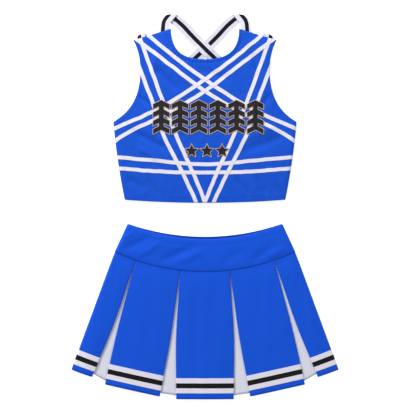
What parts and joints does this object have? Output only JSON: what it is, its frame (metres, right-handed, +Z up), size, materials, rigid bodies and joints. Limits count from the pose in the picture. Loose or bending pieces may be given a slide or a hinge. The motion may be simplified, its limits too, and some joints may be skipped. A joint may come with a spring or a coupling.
{
  "type": "cheer uniform",
  "caption": "Two-piece cheer uniform laid flat: sleeveless crop top with crossed back straps and ribbon star, and a box-pleated mini skirt with striped hem.",
  "frame": {"origin": "on the surface it is laid on, under the middle of the layout's box", "axes": "+Y from the skirt's hem towards the neck, +X to the wearer's left, +Z up out of the surface, front of the garments up"},
  "size_m": [0.562, 0.812, 0.0142],
  "materials": {
    "blue_knit": "fine matte polyester knit",
    "white_ribbon": "satin-edged woven ribbon",
    "striped_elastic": "flat woven elastic, white with a black middle stripe",
    "striped_trim": "flat woven trim in white, black and white stripes",
    "white_pleat": "matte white knit",
    "black_twill": "black twill with a tan satin-stitched edge",
    "waist_elastic": "braided elastic"
  },
  "bodies": {
    "skirt": {"front_yoke": "blue_knit", "back_yoke": "blue_knit", "waist_elastic": "waist_elastic", "panel_front_centre": "blue_knit", "trim_front_centre": "striped_trim", "panel_back_centre": "blue_knit", "trim_back_centre": "striped_trim"},
    "crop_top": {"applique_chevron_1": "black_twill", "applique_chevron_2": "black_twill", "applique_chevron_3": "black_twill", "applique_chevron_4": "black_twill", "applique_chevron_5": "black_twill", "applique_chevron_6": "black_twill", "applique_star_1": "black_twill", "applique_star_2": "black_twill", "applique_star_3": "black_twill", "armhole_facing_left": "blue_knit", "armhole_facing_right": "blue_knit", "neck_facing": "blue_knit", "ribbon_left_shoulder_to_hem_inner": "white_ribbon", "ribbon_left_shoulder_to_hem_outer": "white_ribbon", "ribbon_left_shoulder_to_right_side_lower": "white_ribbon", "ribbon_left_shoulder_to_right_side_upper": "white_ribbon", "ribbon_right_shoulder_to_hem_inner": "white_ribbon", "ribbon_right_shoulder_to_hem_outer": "white_ribbon", "ribbon_right_shoulder_to_left_side_lower": "white_ribbon", "ribbon_right_shoulder_to_left_side_upper": "white_ribbon", "ribbon_underbust_lower": "white_ribbon", "ribbon_underbust_upper": "white_ribbon", "strap_inner_left": "striped_elastic", "strap_inner_right": "striped_elastic", "strap_outer_left": "striped_elastic", "strap_outer_right": "striped_elastic", "top_back_panel": "blue_knit", "top_front_panel": "blue_knit"},
    "front_left_pleat": {"panel_front_left": "blue_knit", "trim_front_left": "striped_trim", "inset_front_left_inner": "white_pleat"},
    "back_left_pleat": {"panel_back_left": "blue_knit", "trim_back_left": "striped_trim", "inset_back_left_inner": "white_pleat"},
    "left_side_pleat": {"panel_side_left": "blue_knit", "trim_side_left": "striped_trim", "inset_front_left_outer": "white_pleat", "inset_back_left_outer": "white_pleat"},
    "front_right_pleat": {"panel_front_right": "blue_knit", "trim_front_right": "striped_trim", "inset_front_right_inner": "white_pleat"},
    "back_right_pleat": {"panel_back_right": "blue_knit", "trim_back_right": "striped_trim", "inset_back_right_inner": "white_pleat"},
    "right_side_pleat": {"panel_side_right": "blue_knit", "trim_side_right": "striped_trim", "inset_front_right_outer": "white_pleat", "inset_back_right_outer": "white_pleat"}
  },
  "joints": [
    {"name": "top_slide", "type": "slide", "parent": "skirt", "child": "crop_top", "axis": [0, 1, 0], "range_m": [-0.02, 0.2]},
    {"name": "front_left_pleat_swing", "type": "hinge", "parent": "skirt", "child": "front_left_pleat", "pos_m": [0.1, -0.13, 0], "axis": [0, 0, 1], "range_deg": [-3.5, 6]},
    {"name": "back_left_pleat_swing", "type": "hinge", "parent": "skirt", "child": "back_left_pleat", "pos_m": [0.1, -0.13, 0], "axis": [0, 0, 1], "range_deg": [-3.5, 6]},
    {"name": "left_side_pleat_swing", "type": "hinge", "parent": "skirt", "child": "left_side_pleat", "pos_m": [0.169, -0.1085, 0], "axis": [0, 0, 1], "range_deg": [-7, 12]},
    {"name": "front_right_pleat_swing", "type": "hinge", "parent": "skirt", "child": "front_right_pleat", "pos_m": [-0.1, -0.13, 0], "axis": [0, 0, 1], "range_deg": [-6, 3.5]},
    {"name": "back_right_pleat_swing", "type": "hinge", "parent": "skirt", "child": "back_right_pleat", "pos_m": [-0.1, -0.13, 0], "axis": [0, 0, 1], "range_deg": [-6, 3.5]},
    {"name": "right_side_pleat_swing", "type": "hinge", "parent": "skirt", "child": "right_side_pleat", "pos_m": [-0.169, -0.1085, 0], "axis": [0, 0, 1], "range_deg": [-12, 7]}
  ],
  "couplings": [
    {"joint": "back_left_pleat_swing", "follows": "front_left_pleat_swing", "ratio": 1},
    {"joint": "left_side_pleat_swing", "follows": "front_left_pleat_swing", "ratio": 2},
    {"joint": "front_right_pleat_swing", "follows": "front_left_pleat_swing", "ratio": -1},
    {"joint": "back_right_pleat_swing", "follows": "front_left_pleat_swing", "ratio": -1},
    {"joint": "right_side_pleat_swing", "follows": "front_left_pleat_swing", "ratio": -2}
  ]
}
